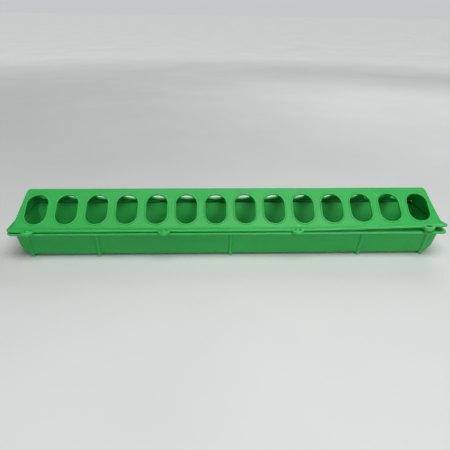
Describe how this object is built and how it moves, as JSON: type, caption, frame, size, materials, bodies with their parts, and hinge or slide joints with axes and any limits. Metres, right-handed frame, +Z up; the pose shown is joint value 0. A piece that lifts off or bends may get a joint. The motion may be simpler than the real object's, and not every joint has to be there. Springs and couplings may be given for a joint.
{
  "type": "poultry trough feeder",
  "caption": "Long low feed trough on small feet, with a gable-roofed lid of oval feed holes that hinges on one long edge and snaps shut on the other.",
  "frame": {"origin": "on the ground, under the centre of the feeder", "axes": "+X along the trough, +Z up, -Y towards the snap edge of the lid, +Y towards the hinge edge"},
  "size_m": [0.51, 0.113, 0.0731],
  "materials": {
    "trough_plastic": "semi-gloss moulded polypropylene, slightly cloudy, bright grass green",
    "lid_plastic": "semi-gloss moulded polypropylene, slightly cloudy, bright grass green"
  },
  "bodies": {
    "trough": {"trough": "trough_plastic"},
    "lid": {"lid": "lid_plastic"}
  },
  "joints": [
    {"name": "lid_hinge", "type": "hinge", "parent": "trough", "child": "lid", "pos_m": [0, 0.0533, 0.03975], "axis": [-1, 0, 0], "range_deg": [0, 180]}
  ]
}
